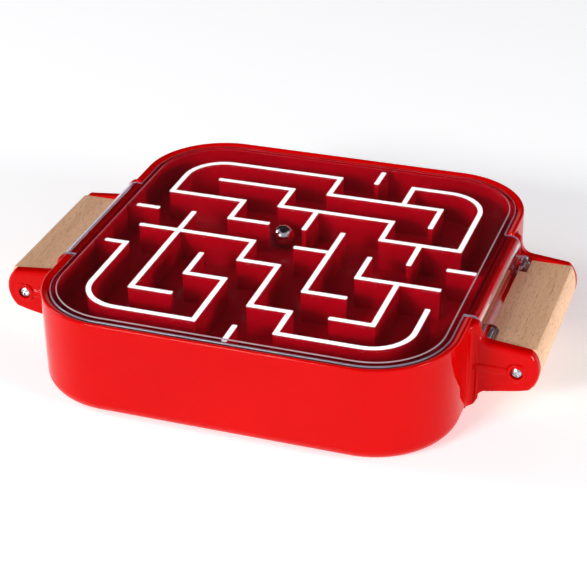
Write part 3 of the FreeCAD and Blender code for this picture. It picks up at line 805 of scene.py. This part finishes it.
def tray():
    """Floor, outer wall and maze walls in one moulding."""
    corner = TUB_CORNER - (TUB_HALF - TRAY_HALF)
    wall = TRAY_HALF - TRAY_INNER
    edge = 0.4 * MM
    floor_round = 1.0 * MM
    sunk = 0.5 * MM
    boss_radius, boss_foot, boss_length = 3.6 * MM, 5.05 * MM, UNDER_TRAY - 4.5 * MM
    profile = [(0.0, UNDER_TRAY), (0.0, WALL_TOP - edge), (edge, WALL_TOP),
               (wall - edge, WALL_TOP), (wall, WALL_TOP - edge),
               (wall, FLOOR_LEVEL + floor_round),
               (wall + 0.3 * MM, FLOOR_LEVEL + 0.3 * MM), (wall + floor_round, FLOOR_LEVEL)]
    pan = square_sweep("maze_tray_piece", TRAY_HALF, corner, profile)
    unite(pan, [band("wall", run, TRAY_INNER, FLOOR_LEVEL - sunk, WALL_TOP - FILM)
                for run in RUNS])
    unite(pan, [cylinder("boss", (TRAY_SCREW * sx, TRAY_SCREW * sy, boss_foot), UP,
                         boss_radius, boss_length) for _, sx, sy in CORNERS])
    shade(pan)
    dress(pan, [TRAY_RED_PAINTED_SHADE], "tub", "tray_plastic", "maze_tray")


def film():
    """The white film on the wall tops."""
    print_reach = 95.8 * MM
    strips = []
    for run in RUNS:
        printed = [PRINT_ENDS.get(node[:2], node) for node in run]
        strips.append(band("strip", printed, print_reach, WALL_TOP - FILM, WALL_TOP))
    base = strips[0]
    unite(base, strips[1:])
    base.name = "white_wall_tops"
    shade(base)
    dress(base, [WHITE_FILM_PAINTED_GLOW], "tub", "print", "wall_top_print")


# ----------------------------------------------------------------------- lid

def ear(side):
    """The flange that carries the border over the rim and hangs down outside it."""
    bend = 5.0 * MM
    end, lip = 38.2 * MM, 0.5 * MM
    inner = EAR_OUTER - EAR_SHEET
    bend_x, bend_z = EAR_OUTER - bend, LID_BORDER - bend
    root = LID_PANEL_HALF - 0.5 * MM
    outline = [(root, LID_UNDER), (root, LID_BORDER)]
    outline += arc((bend_x, bend_z), bend, 90, 0, 14)
    outline += [(EAR_OUTER, end + lip), (EAR_OUTER - lip, end), (inner + lip, end),
                (inner, end + lip)]
    outline += arc((bend_x, bend_z), bend - EAR_SHEET, 0, 90, 10)
    outline = [(x * side, z) for x, z in outline]
    made = extruded("ear", outline, -EAR_HALF, EAR_HALF, "XZ")
    bevel(made, 0.45 * MM, angle=60)
    return made


def lid_plate():
    """Border and raised panel; each ring of faces takes the material of its zone."""
    corner = TUB_CORNER - (TUB_HALF - LID_HALF)
    under, edge = 0.7 * MM, 0.65 * MM
    step = LID_HALF - LID_PANEL_HALF
    rise = LID_TOP - LID_BORDER
    below = rounded_edge(under, LID_UNDER, (90, 60, 30, 0))
    above = rounded_edge(edge, LID_BORDER, (0, 22, 45, 68, 90), upward=-1)
    riser = [(step - 0.25 * MM, LID_BORDER), (step - 0.1 * MM, LID_BORDER + 0.2 * rise),
             (step + 0.2 * MM, LID_TOP - 0.15 * rise), (step + 0.35 * MM, LID_TOP)]
    plate = square_sweep("clear_lid", LID_HALF, corner, below + above + riser)
    give_slots(plate, LID_MATERIALS, PANEL)
    per_ring = len(rounded_square(1, 0.5))
    first_edge, first_riser = len(below) - 1, len(below + above)
    # Zones with painted light: the border takes painted shade, the rounded edge painted
    # reflection, the riser a painted highlight.
    for face in plate.data.polygons[1:-1]:
        ring = (face.index - 1) // per_ring
        if ring >= first_riser:
            face.material_index = STEP
        elif first_edge <= ring < first_riser - 1:
            face.material_index = EDGE
        else:
            face.material_index = BORDER
    return plate


def knuckle(end):
    """A hinge knuckle with the web that hangs it from the ear."""
    near = 30.0 * MM
    bar_radius = 4.1 * MM
    web_top = 38.4 * MM
    bar = cylinder("knuckle", (HINGE_X, near * end, HINGE_Z), (0, end, 0), bar_radius,
                   EAR_HALF - near)
    bevel(bar, 0.7 * MM)
    low_y, high_y = sorted((near * end, EAR_HALF * end))
    web = block("web", (EAR_OUTER - EAR_SHEET, low_y, HINGE_Z),
                (EAR_OUTER, high_y, web_top))
    bevel(web, 0.3 * MM)
    boolean(bar, web, "UNION")
    return bar


def lid():
    skirt_depth, skirt_low = 2.2 * MM, 38.6 * MM
    margin = 0.5 * MM
    hole_margin, hole_length = 0.3 * MM, 20 * MM
    plate = lid_plate()
    for side in (1, -1):
        flange = ear(side)
        # The ear's top carries the border's painted shade.
        give_slots(flange, LID_MATERIALS, BORDER)
        boolean(plate, flange, "UNION")
    for end in (-1, 1):
        lug = knuckle(end)
        give_slots(lug, LID_MATERIALS, LUG)
        boolean(plate, lug, "UNION")
        hole = cylinder("hole", (HINGE_X, (PIN_LOW[1] - hole_margin) * end, HINGE_Z),
                        (0, end, 0), HINGE_HOLE, hole_length, HOLE_SEGMENTS)
        boolean(plate, hole, "DIFFERENCE")

    def skirt(spot):
        return abs(spot.x) > EAR_OUTER - skirt_depth and spot.z > skirt_low

    def ear_end(spot):
        return (abs(spot.x) > LID_HALF + margin and abs(spot.y) > EAR_HALF - margin
                and spot.z > skirt_low)

    choose_material(plate, PANEL, skirt)
    # Painted highlight: the ears' end faces take the edge material, for the glints at their
    # ends.
    choose_material(plate, EDGE, ear_end)
    shade(plate, 28)
    dress(plate, LID_MATERIALS, "lid", "clear_lid", "lid")


# --------------------------------------------------------------------- grips

def grip(side):
    """A beech slab with a crowned outer face and broken edges."""
    inner, edge = GRIP_LOW[0], 137.2 * MM
    low, high = GRIP_LOW[2], GRIP_HIGH[2]
    crown, crown_steps = 22.9 * MM, 16
    room_start, room_radius, room_length = 29.6 * MM, 4.5 * MM, 20 * MM
    outline = [(inner, high), (inner, low), (edge, low)]
    outline += crown_arc(crown, edge, low, high, crown_steps) + [(edge, high)]
    bar = extruded("grip", outline, GRIP_LOW[1], GRIP_HIGH[1], "XZ")
    bevel(bar, 0.5 * MM, angle=30)
    if side > 0:
        for end in (-1, 1):
            hollow = cylinder("room", (HINGE_X, room_start * end, HINGE_Z), (0, end, 0),
                              room_radius, room_length)
            boolean(bar, hollow, "DIFFERENCE")
    else:
        for v in bar.data.vertices:
            v.co.x = -v.co.x
        fix_normals(bar)
    label = "right" if side > 0 else "left"
    bar.name = f"beech_grip_{label}"
    shade(bar)
    dress(bar, [BEECH], "tub", "beech", f"handle_{label}")


# ---------------------------------------------------------------------- ball

def ball():
    """A round ball from a finely divided cube, so that it has no poles."""
    cuts = 23
    centre = (Vector(BALL_LOW) + Vector(BALL_HIGH)) / 2
    radius = (BALL_HIGH[2] - BALL_LOW[2]) / 2
    obj = add_object("steel_ball", bpy.data.meshes.new("steel_ball"))
    with editing(obj) as work:
        bmesh.ops.create_cube(work, size=2.0)
        bmesh.ops.subdivide_edges(work, edges=work.edges, cuts=cuts, use_grid_fill=True)
        for v in work.verts:
            v.co = centre + v.co.normalized() * radius
    shade(obj, 60)
    dress(obj, [STEEL], "ball", "ball", "ball")


# --------------------------------------------------------------- small parts

def repaint(node, mat):
    """Give a CAD node that stays as it is a finished material."""
    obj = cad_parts[node]
    obj.data.materials.clear()
    obj.data.materials.append(mat)


def small_parts():
    for label, _, _ in CORNERS:
        repaint(f"handle_screw_{label}", ZINC)
        repaint(f"tray_screw_{label}", ZINC)
        repaint(f"foot_{label}", RUBBER)
    for label in ("front", "back"):
        repaint(f"hinge_pin_{label}", PIN_STEEL)


# --------------------------------------------------------------------- stage

def floor():
    size = 12.0
    plane = add_mesh("floor", [(-size, -size, 0), (size, -size, 0), (size, size, 0),
                               (-size, size, 0)], [(0, 1, 2, 3)])
    mat, _, _, shader = new_material("pale_floor")
    shader.inputs["Base Color"].default_value = (0.90, 0.90, 0.90, 1)
    shader.inputs["Roughness"].default_value = 0.7
    shader.inputs["Specular IOR Level"].default_value = 0.1
    shader.inputs["Emission Color"].default_value = (1, 1, 1, 1)
    shader.inputs["Emission Strength"].default_value = 0.38
    plane.data.materials.append(mat)


def bearing(azimuth, elevation):
    """Unit direction from angles in degrees; azimuth 0 is in front, 90 on the right."""
    turn, lift = math.radians(azimuth), math.radians(elevation)
    return Vector((math.sin(turn) * math.cos(lift), -math.cos(turn) * math.cos(lift),
                   math.sin(lift)))


def softbox(name, azimuth, elevation, size, power):
    """An area light aimed at the object."""
    aim, distance = Vector((0, 0, 0.03)), 2.4
    place = aim + distance * bearing(azimuth, elevation)
    data = bpy.data.lights.new(name, "AREA")
    data.shape = "RECTANGLE"
    data.size, data.size_y = size
    data.energy = power
    lamp = add_object(name, data)
    lamp.location = place
    lamp.rotation_euler = (aim - place).to_track_quat("-Z", "Y").to_euler()


def falling(nodes, links, source, start, stop):
    """One below the start, nought above the stop."""
    made = add_node(nodes, "ShaderNodeMapRange")
    made.inputs["From Min"].default_value = start
    made.inputs["From Max"].default_value = stop
    made.inputs["To Min"].default_value = 1.0
    made.inputs["To Max"].default_value = 0.0
    links.new(source, made.inputs["Value"])
    return made.outputs["Result"]


def combine(nodes, links, operation, first, second):
    """One number out of two, by a maths node."""
    made = add_node(nodes, "ShaderNodeMath", operation=operation)
    links.new(first, made.inputs[0])
    links.new(second, made.inputs[1])
    return made.outputs[0]


def room():
    """Pale screens in front and a pale horizon, under a dark ceiling and a dark back."""
    dark, pale = (0.010, 0.010, 0.012), (0.54, 0.53, 0.57)
    world = bpy.data.worlds.new("room")
    world.use_nodes = True
    nodes, links = world.node_tree.nodes, world.node_tree.links
    view = add_node(nodes, "ShaderNodeTexCoord")
    split = add_node(nodes, "ShaderNodeSeparateXYZ")
    links.new(view.outputs["Generated"], split.inputs["Vector"])
    horizon = falling(nodes, links, split.outputs["Z"], 0.16, 0.30)
    below_ceiling = falling(nodes, links, split.outputs["Z"], 0.72, 0.84)
    in_front = falling(nodes, links, split.outputs["Y"], 0.10, 0.30)
    screens = combine(nodes, links, "MULTIPLY", below_ceiling, in_front)
    either = combine(nodes, links, "MAXIMUM", horizon, screens)
    light = ramp(nodes, links, either, [(0.0, dark), (1.0, pale)])
    links.new(light.outputs["Color"], nodes["Background"].inputs["Color"])
    bpy.context.scene.world = world


def lights():
    softbox("key", azimuth=-24, elevation=23, size=(0.7, 0.45), power=40)
    softbox("left", azimuth=-85, elevation=26, size=(0.7, 0.45), power=17)
    softbox("right", azimuth=78, elevation=15, size=(0.7, 0.5), power=32)


def camera():
    """The photograph's viewpoint: from the front right, thirty degrees down."""
    roll, distance = math.radians(-1.026), 0.8503
    aim = Vector((0.0167, -0.0453, 0.0495))
    back = bearing(19.54, 29.83)
    level = (-back).cross(Vector(UP)).normalized()
    upright = level.cross(-back)
    right = level * math.cos(roll) + upright * math.sin(roll)
    up = upright * math.cos(roll) - level * math.sin(roll)
    data = bpy.data.cameras.new("camera")
    data.lens = 106.81
    data.sensor_width = 36.0
    data.clip_start = 0.05
    data.clip_end = 50.0
    obj = add_object("camera", data)
    turn = Matrix((right, up, back)).transposed().to_4x4()
    obj.matrix_world = Matrix.Translation(aim + back * distance) @ turn
    bpy.context.scene.camera = obj


bpy.context.scene.view_settings.view_transform = "Standard"
housing()
tray()
film()
lid()
for side in (-1, 1):
    grip(side)
ball()
small_parts()
floor()
room()
lights()
camera()
